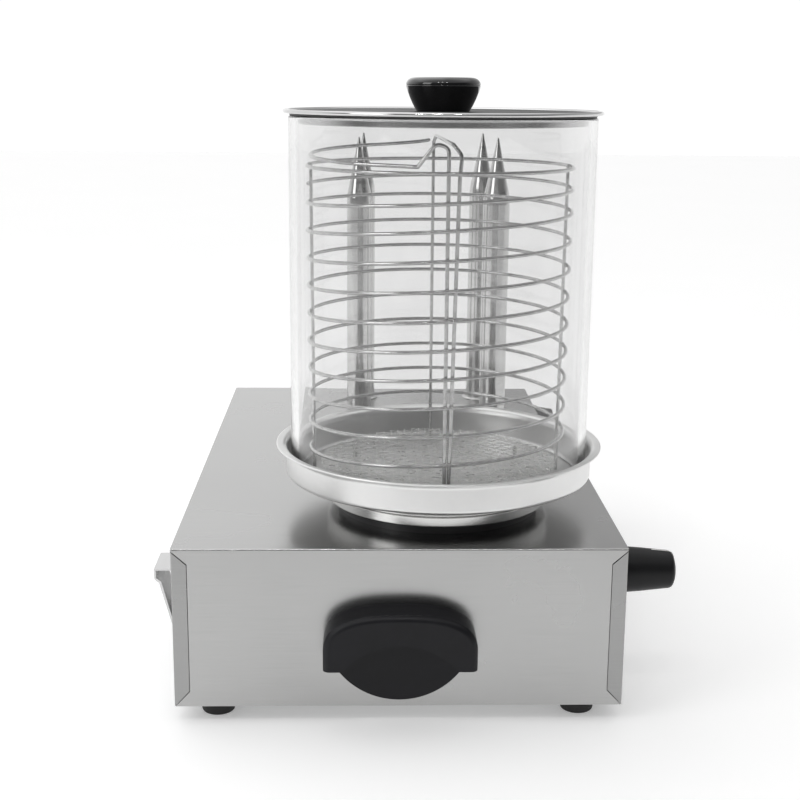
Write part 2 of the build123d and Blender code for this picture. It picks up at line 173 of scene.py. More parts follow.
def sheet_steel(name, colour, rough, grain):
    """Brushed sheet: long fine streaks along one axis, faint handling smudges."""
    f = Finish(name, colour, 1.0, rough)
    fine = f.noise(f.place(grain), 1.0, 4.0, 0.7)
    smudge = f.noise(f.place((9, 9, 9)), 1.0, 4.0, 0.55)
    mix = f.node("ShaderNodeMath", operation="MULTIPLY_ADD")
    f.link(fine, mix.inputs[0])
    mix.inputs[1].default_value = 0.5
    f.link(f.spread(smudge, 0.1, 0.4), mix.inputs[2])
    f.tone(mix.outputs[0], 0.9, 1.07, 0.25, 0.75)
    f.gloss(smudge, 0.045)
    f.bump(fine, 0.012, 0.5)
    return f.m


def turned_metal(name, colour, rough, centre, pitch=(1800, 900, 1), depth=0.006, swing=0.05, wear=0.06):
    """Spun or lathe-turned metal: rings about an upright axis and soft cloudy wear."""
    f = Finish(name, colour, 1.0, rough)
    rings = f.noise(f.place(pitch, centre), 1.0, 2.0, 0.5)
    cloud = f.noise(f.place((28, 28, 28)), 1.0, 4.0, 0.6)
    f.tone(cloud, 1 - wear, 1 + wear / 2)
    f.gloss(cloud, swing)
    f.bump(rings, depth, 0.6)
    return f.m


def plated_wire(name, colour, rough):
    """Bright plated wire with faint drawing marks and dull patches."""
    f = Finish(name, colour, 1.0, rough)
    cloud = f.noise(f.place((160, 160, 160)), 1.0, 3.0, 0.6)
    f.tone(cloud, 0.8, 1.05)
    f.gloss(cloud, 0.06)
    f.bump(f.noise(f.place((900, 900, 900))), 0.01, 0.3)
    return f.m


def moulded(name, colour, rough, depth=0.02, size=1500, **sockets):
    """Moulded plastic or rubber with a fine stipple and uneven sheen."""
    f = Finish(name, colour, 0.0, rough, **sockets)
    cloud = f.noise(f.place((40, 40, 40)), 1.0, 4.0, 0.6)
    f.tone(cloud, 0.8, 1.25)
    f.gloss(cloud, 0.05)
    f.bump(f.noise(f.place((size, size, size)), 1.0, 2.0), depth, 0.5)
    return f.m


axis = mid("glass_cylinder")
AX, AY = axis.x, axis.y
basket = mid("basket_ring")
BX, BY = basket.x, basket.y
ROUND = (AX, AY, 0)         # foot of the upright axis that the pan, glass and lid share
FINISHES = {
    "deck_steel": sheet_steel("deck_steel_brushed", (0.46, 0.46, 0.457), 0.25, (18, 1400, 1400)),
    "panel_steel": sheet_steel("panel_steel_brushed", (0.36, 0.36, 0.358), 0.27, (18, 18, 1500)),
    "floor_steel": sheet_steel("floor_steel_dull", (0.45, 0.46, 0.46), 0.45, (30, 600, 600)),
    "hanger_steel": sheet_steel("hanger_steel_bright", (0.62, 0.62, 0.62), 0.25, (300, 14, 900)),
    "fastener_steel": plated_wire("fastener_zinc", (0.52, 0.52, 0.5), 0.3),
    "seat_black": moulded("seat_enamel", (0.03, 0.03, 0.032), 0.4),
    "hotplate_metal": turned_metal("hotplate_cast", (0.74, 0.74, 0.73), 0.24, ROUND),
    "element_steel": plated_wire("element_steel_grey", (0.4, 0.4, 0.4), 0.4),
    "terminal_plastic": moulded("terminal_plastic_cream", (0.75, 0.72, 0.62), 0.5),
    "gland_black": moulded("gland_nylon", (0.012, 0.012, 0.013), 0.5),
    "pan_metal": turned_metal("pan_aluminium", (0.76, 0.76, 0.755), 0.34, ROUND, (1500, 1300, 1), 0.008),
    "mesh_wire": plated_wire("mesh_wire_steel", (0.85, 0.85, 0.84), 0.3),
    "lid_steel": turned_metal("lid_polished", (0.62, 0.62, 0.62), 0.10, ROUND, (900, 700, 1), 0.003,
                              swing=0.03),
    "knob_black": moulded("knob_bakelite", (0.006, 0.006, 0.007), 0.07, 0.004, 700,
                          Coat_Weight=0.6, Coat_Roughness=0.03),
    "gasket_rubber": moulded("gasket_silicone", (0.015, 0.015, 0.015), 0.5),
    "foot_rubber": moulded("foot_rubber_black", (0.018, 0.018, 0.018), 0.65, 0.03, 1200),
    "handle_black": moulded("handle_plastic", (0.008, 0.008, 0.010), 0.40, 0.02, 1800,
                            Specular_IOR_Level=0.25),
    "collar_steel": turned_metal("collar_turned", (0.66, 0.66, 0.65), 0.22, ROUND),
    "thermostat_body": moulded("thermostat_ceramic", (0.55, 0.53, 0.5), 0.5),
    "dial_black": moulded("dial_anodised", (0.02, 0.02, 0.021), 0.42, 0.01, 2500),
    "dial_knob_black": moulded("dial_knob_plastic", (0.009, 0.009, 0.01), 0.42, 0.02, 1800,
                               Specular_IOR_Level=0.25),
    "switch_black": moulded("switch_nylon", (0.016, 0.016, 0.017), 0.38, 0.015, 2000),
    "basket_chrome": plated_wire("basket_wire_chrome", (0.60, 0.60, 0.597), 0.11),
}


def lens_finish(name, colour, glow, rough):
    """Tinted clear plastic with moulded unevenness."""
    f = Finish(name, colour, 0.0, rough, Transmission_Weight=0.35, IOR=1.49, Emission_Strength=glow)
    f.s.inputs["Emission Color"].default_value = (*colour, 1)
    cloud = f.noise(f.place((90, 90, 90)), 1.0, 3.0)
    f.tone(cloud, 0.8, 1.1)
    f.gloss(cloud, 0.04)
    f.bump(f.noise(f.place((700, 700, 700))), 0.01, 0.4)
    return f.m


FINISHES["switch_red"] = lens_finish("switch_red_clear", (0.55, 0.012, 0.01), 0.03, 0.18)
FINISHES["lamp_lens"] = lens_finish("lamp_amber_clear", (0.75, 0.09, 0.01), 0.05, 0.15)


def glass_finish():
    """Clear tube glass with drawn ripples and a slightly uneven grey tint."""
    f = Finish("glass_borosilicate", (1.0, 1.0, 1.0), 0.0, 0.012, Transmission_Weight=1.0, IOR=1.49)
    ripple = f.noise(f.place((7, 7, 26)), 1.0, 1.0, 0.3)
    tint_noise = f.noise(f.place((14, 14, 6)), 1.0, 4.0, 0.5)
    f.gloss(tint_noise, 0.01)
    f.tone(tint_noise, 0.85, 0.92)
    f.bump(ripple, 0.05, 0.35)
    return f.m


FINISHES["glass_clear"] = glass_finish()
print_white = moulded("dial_print_white", (0.8, 0.8, 0.78), 0.5, 0.005, 2500)


# ------------------------------------------------------------------ mesh helpers
def piece(name, verts, faces, body, slot, nodes=(), finish=None, sharp=40, weighted=True):
    """Makes one smooth-shaded piece from millimetre vertices and seats it on its body."""
    mesh = bpy.data.meshes.new(name)
    mesh.from_pydata([(x * MM, y * MM, z * MM) for x, y, z in verts], [], faces)
    work = bmesh.new()
    work.from_mesh(mesh)
    bmesh.ops.remove_doubles(work, verts=work.verts, dist=1e-7)
    bmesh.ops.recalc_face_normals(work, faces=work.faces)
    work.to_mesh(mesh)
    work.free()
    ob = bpy.data.objects.new(name, mesh)
    scene.collection.objects.link(ob)
    return dress(ob, body, slot, nodes, finish, sharp, weighted)


def dress(ob, body, slot, nodes=(), finish=None, sharp=40, weighted=True):
    """Shading, finish (the slot's finish unless one is given), body, and hiding the CAD nodes that a piece
    stands for.
    """
    ob.data.shade_smooth()
    ob.data.set_sharp_from_angle(angle=radians(sharp))
    if weighted:
        ob.modifiers.new("face_weighted", "WEIGHTED_NORMAL").keep_sharp = True
    ob.data.materials.clear()
    ob.data.materials.append(finish or FINISHES[slot])
    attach(ob, body)
    if nodes:
        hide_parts(*nodes)
    return ob


def soft(profile, radius, steps=4, closed=True):
    """The profile with each corner rounded, the radius limited by its neighbours."""
    count, out = len(profile), []
    for i, p in enumerate(profile):
        if not closed and i in (0, count - 1):
            out.append(tuple(p))
            continue
        a, b = profile[i - 1], profile[(i + 1) % count]
        da, db = hypot(a[0] - p[0], a[1] - p[1]), hypot(b[0] - p[0], b[1] - p[1])
        cut = min(radius, 0.45 * da, 0.45 * db)
        s = (p[0] + (a[0] - p[0]) * cut / da, p[1] + (a[1] - p[1]) * cut / da)
        e = (p[0] + (b[0] - p[0]) * cut / db, p[1] + (b[1] - p[1]) * cut / db)
        for k in range(steps + 1):
            t = k / steps
            out.append(tuple((1 - t) ** 2 * s[j] + 2 * t * (1 - t) * p[j] + t * t * e[j] for j in (0, 1)))
    return out


def lathe_mesh(profile, at, steps=160, along="Z"):
    """Revolves (radius, height) points about an axis through a point."""
    verts, rings, faces = [], [], []
    for r, h in profile:
        angles = [0] if r < 1e-6 else [2 * pi * k / steps for k in range(steps)]
        ring = []
        for a in angles:
            c, s = r * cos(a), r * sin(a)
            p = {"Z": (c, s, h), "X": (h, c, s), "Y": (s, h, c)}[along]
            ring.append(len(verts))
            verts.append(tuple(p[j] + at[j] for j in range(3)))
        rings.append(ring)
    pairs = list(zip(rings, rings[1:]))
    if len(rings[0]) > 1 or len(rings[-1]) > 1:
        pairs.append((rings[-1], rings[0]))
    for a, b in pairs:
        if len(a) == 1 and len(b) == 1:
            continue
        for k in range(steps):
            n = (k + 1) % steps
            if len(a) == 1:
                faces.append((a[0], b[n], b[k]))
            elif len(b) == 1:
                faces.append((a[k], a[n], b[0]))
            else:
                faces.append((a[k], a[n], b[n], b[k]))
    return verts, faces


def lathe(name, profile, at, body, slot, nodes=(), steps=160, along="Z", **more):
    return piece(name, *lathe_mesh(profile, at, steps, along), body, slot, nodes, **more)


def tube_mesh(points, r, sides=12, closed=False):
    """Round wire along a polyline, with the section carried without twist and domed ends."""
    pts = [Vector(p) for p in points]
    count = len(pts)
    if closed:
        ways = [(pts[(i + 1) % count] - pts[i - 1]).normalized() for i in range(count)]
    else:
        ways = [(pts[min(i + 1, count - 1)] - pts[max(i - 1, 0)]).normalized() for i in range(count)]
    side = ways[0].orthogonal().normalized()
    verts, faces, rows = [], [], []

    def ring(p, way, side, radius):
        up = way.cross(side)
        row = []
        for k in range(sides):
            a = 2 * pi * k / sides
            row.append(len(verts))
            verts.append(tuple(p + (side * cos(a) + up * sin(a)) * radius))
        rows.append(row)

    if not closed:
        for a in (75, 40):
            ring(pts[0] - ways[0] * r * sin(radians(a)), ways[0], side, r * cos(radians(a)))
    for p, way in zip(pts, ways):
        side = (side - way * side.dot(way)).normalized()
        ring(p, way, side, r)
    if not closed:
        for a in (40, 75):
            ring(pts[-1] + ways[-1] * r * sin(radians(a)), ways[-1], side, r * cos(radians(a)))
    for a, b in zip(rows, rows[1:]):
        faces += [(a[k], a[(k + 1) % sides], b[(k + 1) % sides], b[k]) for k in range(sides)]
    if closed:
        first = [Vector(verts[i]) for i in rows[0]]
        last = [Vector(verts[i]) for i in rows[-1]]
        turn = min(range(sides), key=lambda s: (first[s] - last[0]).length)
        a, b = rows[-1], rows[0]
        faces += [(a[k], a[(k + 1) % sides], b[(k + 1 + turn) % sides], b[(k + turn) % sides])
                  for k in range(sides)]
    else:
        faces += [tuple(rows[0]), tuple(reversed(rows[-1]))]
    return verts, faces


def merged(meshes):
    """Several (verts, faces) pairs as one."""
    verts, faces = [], []
    for v, f in meshes:
        base = len(verts)
        verts += v
        faces += [tuple(i + base for i in face) for face in f]
    return verts, faces


def curve_through(points, per=12):
    """Catmull-Rom points through a list of points."""
    pts = [Vector(p) for p in points]
    pts = [pts[0] * 2 - pts[1]] + pts + [pts[-1] * 2 - pts[-2]]
    out = []
    for a, b, c, d in zip(pts, pts[1:], pts[2:], pts[3:]):
        for k in range(per):
            t = k / per
            out.append(0.5 * (2 * b + (c - a) * t + (2 * a - 5 * b + 4 * c - d) * t * t
                              + (3 * b - a - 3 * c + d) * t ** 3))
    return out + [pts[-2]]


def bent(points, radius, steps=6, run=12.0):
    """Straight runs with rounded bends, as closely spaced points."""
    pts = [Vector(p) for p in points]
    out = [pts[0]]
    for a, p, b in zip(pts, pts[1:], pts[2:]):
        cut = min(radius, (a - p).length * 0.45, (b - p).length * 0.45)
        s, e = p + (a - p).normalized() * cut, p + (b - p).normalized() * cut
        for k in range(steps + 1):
            t = k / steps
            out.append(s * (1 - t) ** 2 + p * 2 * t * (1 - t) + e * t * t)
    out.append(pts[-1])
    dense = [out[0]]
    for a, b in zip(out, out[1:]):
        n = max(1, ceil((b - a).length / run))
        dense += [a.lerp(b, (k + 1) / n) for k in range(n)]
    return dense


def prism(outline, depth0, depth1, to_world):
    """Temporary solid object: an (x, z) outline extruded in depth."""
    count = len(outline)
    verts = [to_world(x, d, z) for d in (depth0, depth1) for x, z in outline]
    faces = [tuple(range(count)), tuple(range(2 * count - 1, count - 1, -1))]
    faces += [(i, (i + 1) % count, count + (i + 1) % count, count + i) for i in range(count)]
    mesh = bpy.data.meshes.new("prism")
    mesh.from_pydata([(x * MM, y * MM, z * MM) for x, y, z in verts], [], faces)
    work = bmesh.new()
    work.from_mesh(mesh)
    bmesh.ops.recalc_face_normals(work, faces=work.faces)
    work.to_mesh(mesh)
    work.free()
    ob = bpy.data.objects.new("prism", mesh)
    scene.collection.objects.link(ob)
    return ob


def ease(ob, width, steps, picks):
    """Rounds the edges whose two ends both satisfy a test on their place in mm."""
    work = bmesh.new()
    work.from_mesh(ob.data)
    edges = [e for e in work.edges if picks(*[v.co / MM for v in e.verts])]
    bmesh.ops.bevel(work, geom=edges, offset=width * MM, segments=steps, profile=0.5, affect="EDGES",
                    clamp_overlap=True)
    work.to_mesh(ob.data)
    work.free()
    return ob


def combine(ob, other, how):
    """Exact boolean of two temporary solids."""
    mod = ob.modifiers.new("combine", "BOOLEAN")
    mod.operation, mod.object, mod.solver = how, other, "EXACT"
    bpy.context.view_layer.update()
    shaped = bpy.data.meshes.new_from_object(ob.evaluated_get(bpy.context.evaluated_depsgraph_get()))
    ob.modifiers.clear()
    ob.data = shaped
    bpy.data.objects.remove(other)
    return ob


# ------------------------------------------------------------------ finishes on the kept CAD nodes
KEPT = {
    "deck_steel": ["deck_shell"],
    "panel_steel": ["side_panel_left", "side_panel_right"],
    "floor_steel": ["bottom_plate"],
    "hanger_steel": ["side_hanger"],
    "fastener_steel": ["foot_screws", "handle_screws", "hanger_rivets", "spike_nuts", "lid_screw",
                       "mesh_legs", "dial_shaft_steam", "dial_shaft_spikes"],
    "seat_black": ["hotplate_seat"],
    "element_steel": ["steam_element", "spike_heaters"],
    "terminal_plastic": ["terminal_block"],
    "gland_black": ["cable_gland"],
    "thermostat_body": ["thermostat_steam", "thermostat_spikes"],
}
for finish, names in KEPT.items():
    for name in names:
        mesh = frame["nodes"][name].data
        mesh.materials.clear()
        mesh.materials.append(FINISHES[finish])

# ------------------------------------------------------------------ feet
for n in range(1, 5):
    low, high = low_high(f"foot_{n}")
    x, y, r, top = (low.x + high.x) / 2, (low.y + high.y) / 2, (high.x - low.x) / 2, high.z
    shape = soft([(2.6, 5.0), (5.5, 5.0), (5.5, 0.0), (r - 2.2, 0.0), (r - 1.4, 0.9), (r - 0.75, 6.0),
                  (r - 1.3, 6.8), (r - 0.6, 7.6), (r, top), (2.6, top)], 0.6)
    lathe(f"foot_rubber_{n}", shape, (x, y, 0), "base", "foot_rubber", [f"foot_{n}"], 72)


# ------------------------------------------------------------------ cup handles on the end faces
HOOD_LOW, ARCH_W, ARCH_H = 44.6, 36.0, 17.0


def cup_outline(half, top, inset, low=HOOD_LOW, count=72):
    """Flat-bottomed arch with full shoulders, as (x, z)."""
    w, rise = half - inset, 25.0 - inset * 0.6
    pts = [(-w, low)]
    for i in range(count + 1):
        a = pi * i / count
        c, k = cos(a), max(0.0, sin(a))
        pts.append((-w * (abs(c) ** 0.78) * (1 if c > 0 else -1), top - inset - rise + rise * k ** 0.78))
    return pts + [(w, low)]


def cup_handle(name, node, outward):
    """Hood with a rounded front edge, hollow from below, finger arch in front, round-bottomed back plate."""
    low, high = low_high(node)
    cx, half, top = (low.x + high.x) / 2, (high.x - low.x) / 2, high.z
    face, out = (high.y if outward < 0 else low.y), high.y - low.y

    def world(x, d, z):
        return (cx + x, face + outward * d, z)

    def depth(v):
        return (v.y - face) * outward

    hood = prism(cup_outline(half, top, 0.0), 0.0, out, world)
    ease(hood, 4.2, 7, lambda a, b: depth(a) > out - 0.01 and depth(b) > out - 0.01
         and a.z + b.z > 2 * HOOD_LOW + 0.5)
    combine(hood, prism(cup_outline(half, top, 3.0, 30.0), 2.6, out - 3.0, world), "DIFFERENCE")
    swing = (ARCH_W ** 2 + ARCH_H ** 2) / (2 * ARCH_H)
    reach = asin(ARCH_W / swing)
    arch = [(swing * sin(a), HOOD_LOW + ARCH_H - swing + swing * cos(a))
            for a in [reach * (i - 32) / 32 for i in range(65)]]
    arch += [(ARCH_W, 30.0), (-ARCH_W, 30.0)]
    combine(hood, prism(arch, out - 8.0, out + 1.0, world), "DIFFERENCE")
    plate = [(half * sin(a), 65.0 - half * cos(a)) for a in [radians(-84 + 2 * i) for i in range(85)]]
    back = ease(prism(plate, 0.0, 2.6, world), 0.7, 2, lambda a, b: depth(a) > 2.5 and depth(b) > 2.5)
    combine(hood, back, "UNION")
    hood.name = name
    return dress(hood, "base", "handle_black", [node], sharp=32)


cup_handle("handle_cup_front", "handle_front", -1)
cup_handle("handle_cup_rear", "handle_rear", 1)

# ------------------------------------------------------------------ hotplate and its seat
low, high = low_high("hotplate")
PLATE_R, PLATE_Z0, PLATE_Z1 = (high.x - low.x) / 2, low.z, high.z
plate = [(0, PLATE_Z0), (PLATE_R - 0.6, PLATE_Z0), (PLATE_R, PLATE_Z0 + 0.6), (PLATE_R, PLATE_Z0 + 6.2),
         (PLATE_R - 0.7, PLATE_Z0 + 6.8), (PLATE_R - 0.7, PLATE_Z0 + 7.8), (PLATE_R, PLATE_Z0 + 8.4),
         (PLATE_R, PLATE_Z1 - 1.5), (PLATE_R - 1.5, PLATE_Z1), (0, PLATE_Z1)]
lathe("hotplate_turned", soft(plate, 0.5, closed=False), ROUND, "base", "hotplate_metal", ["hotplate"], 192)

# ------------------------------------------------------------------ bun spikes and collars
POINT_H, BORE_R, STUD_R, COLLAR_R, COLLAR_H = 48.0, 4.3, 5.1, 15.5, 2.2
for n in range(1, 5):
    low, high = low_high(f"spike_{n}")
    x, y, r, tip = (low.x + high.x) / 2, (low.y + high.y) / 2, (high.x - low.x) / 2, high.z
    shoulder = tip - POINT_H
    shape = [(BORE_R, low.z), (STUD_R, low.z), (STUD_R, DECK_TOP), (r - 0.6, DECK_TOP), (r, DECK_TOP + 0.6),
             (r, shoulder - 5), (r - 0.3, shoulder), (r - 1.2, shoulder + 5), (1.15, tip - 2.6),
             (0.9, tip - 1.0), (0.5, tip - 0.25), (0, tip), (0, shoulder - 6), (BORE_R, shoulder - 10)]
    finish = turned_metal(f"spike_aluminium_{n}", (0.62, 0.62, 0.615), 0.14, (x, y, 0), (1200, 700, 1),
                          0.01)
    lathe(f"spike_turned_{n}", shape[:1] + soft(shape, 2.0, 5)[1:], (x, y, 0), "base", "spike_metal",
          [f"spike_{n}"], 96, finish=finish)
    collar = [(r + 0.1, DECK_TOP), (COLLAR_R, DECK_TOP), (COLLAR_R, DECK_TOP + 1.0),
              (COLLAR_R - 1.3, DECK_TOP + COLLAR_H), (r + 0.1, DECK_TOP + COLLAR_H)]
    lathe(f"collar_turned_{n}", soft(collar, 0.4), (x, y, 0), "base", "collar_steel",
          [f"spike_collar_{n}"], 96)

# ------------------------------------------------------------------ water pan
low, high = low_high("water_pan")
PAN_Z, LIP_Z, LIP_R, PAN_R, PAN_T = low.z, high.z, (high.x - low.x) / 2, 103.2, 1.0
pan = [(0, PAN_Z), (60, PAN_Z), (61, PAN_Z + 0.25), (PAN_R - 1.8, PAN_Z + 0.25), (PAN_R, PAN_Z + 2.0),
       (PAN_R, LIP_Z - 4.6), (PAN_R + 1.4, LIP_Z - 2.3), (LIP_R - 1.2, LIP_Z - 1.7), (LIP_R, LIP_Z - 1.1),
       (LIP_R, LIP_Z - 0.5), (LIP_R - 0.5, LIP_Z), (PAN_R + 2.0, LIP_Z - 0.6), (PAN_R + 0.2, LIP_Z - 1.6),
       (PAN_R - PAN_T, LIP_Z - 4.2), (PAN_R - PAN_T, PAN_Z + 2.6), (PAN_R - 2.6, PAN_Z + PAN_T),
       (0, PAN_Z + PAN_T)]
bowl = lathe("pan_spun", soft(pan, 1.1, 5, closed=False), ROUND, "pan", "pan_metal", ["water_pan"], 240)
# Painted shade: the pan's downward-facing floor gets a darker, duller finish that stands for the shadow under
# the pan, which the deck's reflection shows.
painted_shade = turned_metal("pan_underside_scorched", (0.5, 0.495, 0.49), 0.4, ROUND, (900, 700, 1), 0.01)
bowl.data.materials.append(painted_shade)
for face in bowl.data.polygons:
    if face.normal.z < -0.6 and face.center.z < (PAN_Z + 1.2) * MM:
        face.material_index = 1

# ------------------------------------------------------------------ woven mesh plate
MESH_PITCH, MESH_R, MESH_SIDE = 5.2, 79.5, 15       # cell, radius, and wires each side of the middle one
MESH_WIRE_R, WEAVE, SWERVE, STEP = 0.34, 0.33, 0.18, 1.3
mesh_z = (low_high("mesh_warp")[0].z + low_high("mesh_weft")[1].z) / 2
waves = [(rng.uniform(0.02, 0.06), rng.uniform(0.02, 0.06), rng.uniform(0, 6.3), rng.uniform(0.15, 0.35))
         for _ in range(6)]


def sag(x, y):
    """Gentle unevenness of the loose mesh."""
    return sum(h * sin(a * x + b * y + p) for a, b, p, h in waves)


def woven(lengthwise):
    """All wires in one direction, each passing over and under those that it crosses."""
    wires = []
    for i in range(-MESH_SIDE, MESH_SIDE + 1):
        off = i * MESH_PITCH
        half = (MESH_R ** 2 - off ** 2) ** 0.5
        count = max(6, int(2 * half / STEP))
        pts = []
        for k in range(count + 1):
            s = -half + 2 * half * k / count
            lift = WEAVE * cos(pi * s / MESH_PITCH + pi * (i % 2)) * (1 if lengthwise else -1)
            side = SWERVE * sin(0.11 * s + i)
            x, y = (s, off + side) if lengthwise else (off + side, s)
            pts.append((AX + x, AY + y, mesh_z + lift + sag(x, y)))
        wires.append(tube_mesh(pts, MESH_WIRE_R, 6))
    return merged(wires)


piece("mesh_woven_warp", *woven(True), "mesh", "mesh_wire", ["mesh_warp"], sharp=70, weighted=False)
piece("mesh_woven_weft", *woven(False), "mesh", "mesh_wire", ["mesh_weft"], sharp=70, weighted=False)

# ------------------------------------------------------------------ wire basket
COIL_R, RIB_R, FLARE, WIRE = 85.2, 83.0, 1.6, 1.2
COIL_TOP, COIL_FIRST, COIL_PITCH, COIL_TURNS = 334.4, 11.5, 18.1, 10
RING_Z, FLOOR, RIM_R = basket.z, PAN_Z + PAN_T, RIB_R + FLARE
PER_TURN, RIB_STEPS = 48, 24
NECK = (BX - 17.5, BY - RIB_R + 1.0, 350.2)         # where the post's wire runs on into the hoop


def around(deg, r, z):
    return (BX + r * cos(radians(deg)), BY + r * sin(radians(deg)), z)


def basket_wire(name, node, *meshes):
    """One node's wires in bright plate."""
    piece(name, *merged(meshes), "basket", "basket_chrome", [node], weighted=False)


coil, welds = [], []
for i in range(PER_TURN * COIL_TURNS + 1):
    u = i / PER_TURN
    fall = COIL_FIRST * min(u, 1.0) + COIL_PITCH * max(u - 1.0, 0.0)
    z = COIL_TOP - fall + 0.5 * (1 - cos(4 * pi * u)) + 2.2 * (1 - cos(2 * pi * u)) + 0.2 * sin(5.1 * u)
    reach = COIL_R + FLARE * (z - FLOOR) / (RING_Z - FLOOR) + 0.12 * sin(9.7 * u)
    coil.append(around(180 - 7.5 * i, reach, z))
    if i % 12 == 0:
        welds.append(coil[-1])
basket_wire("basket_wire_coil", "basket_coil", tube_mesh(coil, WIRE, 14))
ring = [around(3 * i, COIL_R + FLARE, RING_Z) for i in range(120)]
basket_wire("basket_wire_ring", "basket_ring", tube_mesh(ring, WIRE, 14, True))
rods = []
for deg, top in ((180, RING_Z), (0, RING_Z), (90, 358.0)):
    rod = [around(deg, RIB_R + FLARE * k / RIB_STEPS, FLOOR + 0.1 + (top - FLOOR) * k / RIB_STEPS)
           for k in range(RIB_STEPS + 1)]
    rods.append(tube_mesh(rod, WIRE, 14))
basket_wire("basket_wire_ribs", "basket_ribs", *rods)
front = BY - RIB_R
post = [(BX + 0.6, front, FLOOR), (BX + 0.6, front, 361.5), (BX - 7.0, front, 364.0), NECK]
basket_wire("basket_wire_post", "basket_post", tube_mesh(bent(post, 4.0), WIRE, 14))
hoop = [NECK] + [around(-110 - 20 * i, RIM_R, 350.0 + i) for i in range(1, 8)]
hoop += [around(97, RIM_R, 358.4), (BX - 3.5, BY + RIM_R, 359.4)]
basket_wire("basket_wire_hoop", "basket_hoop", tube_mesh(curve_through(hoop), WIRE, 14))
bail = [(BX + 3.2, front, FLOOR + 0.4), (BX + 7.2, front + 0.3, 344.0), (BX + 8.4, front + 0.3, 357.0),
        (BX + 3.4, front + 3.0, 363.3), (BX + 1.6, BY + RIM_R - 1.0, 362.6), (BX, BY + RIM_R, 357.4)]
basket_wire("basket_wire_bail", "basket_bail", tube_mesh(bent(bail, 3.0), WIRE, 14))
BEAD = [(0, -1.7), (0.9, -1.3), (1.35, -0.6), (1.5, 0), (1.35, 0.6), (0.9, 1.3), (0, 1.7)]
beads = []
for x, y, z in welds + [around(d, COIL_R + FLARE, RING_Z) for d in (0, 90, 180, 270)]:
    toward = Vector((BX - x, BY - y, 0)).normalized() * 1.1
    beads.append(lathe_mesh(BEAD, (x + toward.x, y + toward.y, z), 12))
piece("basket_weld_beads", *merged(beads), "basket", "basket_chrome", weighted=False)

# ------------------------------------------------------------------ glass tube
low, high = low_high("glass_cylinder")
GLASS_WALL = 5.0
outer = (high.x - low.x) / 2
inner = outer - GLASS_WALL
wall = soft([(inner, low.z), (outer, low.z), (outer, high.z), (inner, high.z)], 1.6, 6)
glass = lathe("glass_tube", wall, ROUND, "glass", "glass_clear", ["glass_cylinder"], 288)
glass.visible_shadow = False

# ------------------------------------------------------------------ lid
low, high = low_high("lid_disc")
LID_R, SKIRT_Z, SKIRT_R, PAINTED_REFLECTION_R = (high.x - low.x) / 2, low.z, 93.5, 99.0
DISC_Z = high.z - 2.4
lid = [(0, DISC_Z), (SKIRT_R - 1.0, DISC_Z), (SKIRT_R - 1.0, SKIRT_Z), (SKIRT_R, SKIRT_Z), (SKIRT_R, DISC_Z),
       (LID_R - 2.6, DISC_Z), (LID_R - 1.2, DISC_Z - 0.4), (LID_R - 0.3, DISC_Z), (LID_R, DISC_Z + 0.9),
       (LID_R - 0.4, DISC_Z + 1.9), (LID_R - 1.4, DISC_Z + 2.4), (LID_R - 2.6, DISC_Z + 2.0),
       (LID_R - 3.6, DISC_Z + 1.2), (80, DISC_Z + 1.2), (79, DISC_Z + 1.5), (77, DISC_Z + 1.5),
       (76, DISC_Z + 1.2), (0, DISC_Z + 1.2)]
cover = lathe("lid_pressed", soft(lid, 0.5, closed=False), ROUND, "lid", "lid_steel", ["lid_disc"], 240)
# Painted reflection: the flat top inside the rim gets a near-black, dull finish that stands for a dark
# reflection on the lid.
painted_reflection = turned_metal("lid_top_clouded", (0.07, 0.07, 0.07), 0.45, ROUND, (900, 700, 1), 0.01, wear=0.6)
shade = painted_reflection.node_tree.nodes["Principled BSDF"]
shade.inputs["Metallic"].default_value = 0.3
shade.inputs["Specular IOR Level"].default_value = 0.15
cover.data.materials.append(painted_reflection)
for face in cover.data.polygons:
    away = hypot(face.center.x - AX * MM, face.center.y - AY * MM)
    if face.normal.z > 0.8 and away < PAINTED_REFLECTION_R * MM:
        face.material_index = 1
low, high = low_high("lid_gasket")
seal = [(SKIRT_R + 0.6, low.z), (99.0, low.z), (99.4, high.z), (SKIRT_R + 0.6, high.z)]
lathe("gasket_moulded", soft(seal, 0.6), ROUND, "lid", "gasket_rubber", ["lid_gasket"], 192)
low, high = low_high("lid_knob")
KNOB_R, k0, k1 = (high.x - low.x) / 2, low.z, high.z
knob = [(0, k0 + 12), (2.0, k0 + 12), (2.0, k0), (17.0, k0), (17.5, k0 + 0.6), (19.4, k0 + 4.0),
        (21.6, k0 + 8.6), (23.2, k0 + 12.6), (KNOB_R - 0.15, k0 + 16.1), (KNOB_R - 0.55, k0 + 16.5),
        (KNOB_R - 0.1, k0 + 16.9), (KNOB_R - 0.3, k0 + 18.0), (KNOB_R - 1.3, k0 + 19.6),
        (KNOB_R - 2.8, k0 + 20.7), (KNOB_R - 4.6, k1 - 0.2), (KNOB_R - 7.0, k1), (0, k1)]
lathe("lid_knob_moulded", soft(knob, 1.4, 5, closed=False), ROUND, "lid", "knob_black", ["lid_knob"], 160)

# ------------------------------------------------------------------ controls on the right side
PANEL_X = low_high("dial_plate_steam")[0].x
GRIP_END_R = 11.8           # nearer the axis than this, a strip lies on the knob's end, not its side


